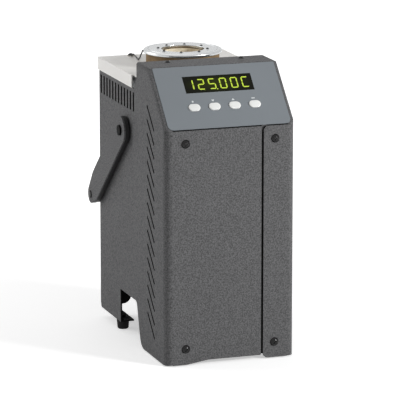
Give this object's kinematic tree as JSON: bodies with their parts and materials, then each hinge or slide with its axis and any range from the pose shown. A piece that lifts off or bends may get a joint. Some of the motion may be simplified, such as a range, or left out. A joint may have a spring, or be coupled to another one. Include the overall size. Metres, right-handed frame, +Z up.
{
  "type": "dry block heater",
  "caption": "Portable dry block heater: tall vented steel case, sloping console with display and buttons, ringed well with removable insert, and a swinging bail handle.",
  "frame": {"origin": "bottom centre of the whole box, handle folded behind, on the surface that the feet stand on", "axes": "+X to the right seen from the front, +Y to the back, +Z up"},
  "size_m": [0.138, 0.2132, 0.2631],
  "materials": {
    "case_paint": "textured dark grey powder coat",
    "inner_black": "black paint",
    "cover_paint": "light satin paint",
    "plated_steel": "zinc plated",
    "stainless": "turned stainless steel",
    "aluminium": "extruded",
    "black_steel": "black oxide",
    "bronze": "turned aluminium bronze",
    "collar_board": "matte tan heat-proof board",
    "fibre": "white ceramic fibre",
    "overlay": "satin printed film",
    "window": "dark tinted",
    "button": "white moulded",
    "black_plastic": "black moulded",
    "board": "green solder mask",
    "grip_black": "black moulded",
    "rubber": "matte"
  },
  "bodies": {
    "case": {"left_cover": "case_paint", "right_cover": "case_paint", "front_frame": "inner_black", "fan_deck": "inner_black", "bulkhead": "plated_steel", "rear_panel": "inner_black", "console_panel": "case_paint", "control_overlay": "overlay", "display_window": "window", "display_module": "black_plastic", "control_board": "board", "top_cover": "cover_paint", "well_flange": "stainless", "flange_screws": "black_steel", "well_collar": "collar_board", "heater_block": "bronze", "heater_cartridges": "stainless", "control_sensor": "stainless", "cutout_sensor": "stainless", "insulation_jacket": "fibre", "heat_shield": "plated_steel", "shield_standoffs": "plated_steel", "fan_frame": "black_plastic", "fan_guard": "stainless", "power_board": "board", "transformer": "inner_black", "triac_heatsink": "aluminium", "board_standoffs": "plated_steel", "power_inlet": "black_plastic", "switch_housing": "black_plastic", "serial_port": "plated_steel", "handle_pivots": "black_steel", "bonding_lead": "grip_black", "front_screws": "black_steel", "console_screws": "black_steel", "cover_screws": "black_steel", "rear_screws": "black_steel", "rubber_feet": "rubber"},
    "handle": {"left_handle_arm": "case_paint", "right_handle_arm": "case_paint", "left_arm_liner": "grip_black", "right_arm_liner": "grip_black", "handle_grip": "grip_black"},
    "insert": {"well_insert": "bronze"},
    "rotor": {"fan_rotor": "black_plastic"},
    "rocker": {"power_rocker": "black_plastic"},
    "fuse_carrier": {"fuse_drawer": "black_plastic"},
    "set_key": {"button_set": "button"},
    "down_key": {"button_down": "button"},
    "up_key": {"button_up": "button"},
    "exit_key": {"button_exit": "button"}
  },
  "joints": [
    {"name": "handle_swing", "type": "hinge", "parent": "case", "child": "handle", "pos_m": [0, 0.00565, 0.1945], "axis": [1, 0, 0], "range_deg": [0, 232.9]},
    {"name": "insert_lift", "type": "slide", "parent": "case", "child": "insert", "axis": [0, 0, 1], "range_m": [0, 0.16]},
    {"name": "fan_spin", "type": "hinge", "parent": "case", "child": "rotor", "pos_m": [0, 0.02735, 0.055], "axis": [0, 0, 1], "continuous": true},
    {"name": "rocker_tilt", "type": "hinge", "parent": "case", "child": "rocker", "pos_m": [-0.014, 0.08685, 0.072], "axis": [1, 0, 0], "range_deg": [0, 16]},
    {"name": "fuse_pull", "type": "slide", "parent": "case", "child": "fuse_carrier", "axis": [0, 1, 0], "range_m": [0, 0.015]},
    {"name": "set_press", "type": "slide", "parent": "case", "child": "set_key", "axis": [0, 0.7071, -0.7071], "range_m": [0, 0.001], "stiffness_N_per_m": 300},
    {"name": "down_press", "type": "slide", "parent": "case", "child": "down_key", "axis": [0, 0.7071, -0.7071], "range_m": [0, 0.001], "stiffness_N_per_m": 300},
    {"name": "up_press", "type": "slide", "parent": "case", "child": "up_key", "axis": [0, 0.7071, -0.7071], "range_m": [0, 0.001], "stiffness_N_per_m": 300},
    {"name": "exit_press", "type": "slide", "parent": "case", "child": "exit_key", "axis": [0, 0.7071, -0.7071], "range_m": [0, 0.001], "stiffness_N_per_m": 300}
  ]
}
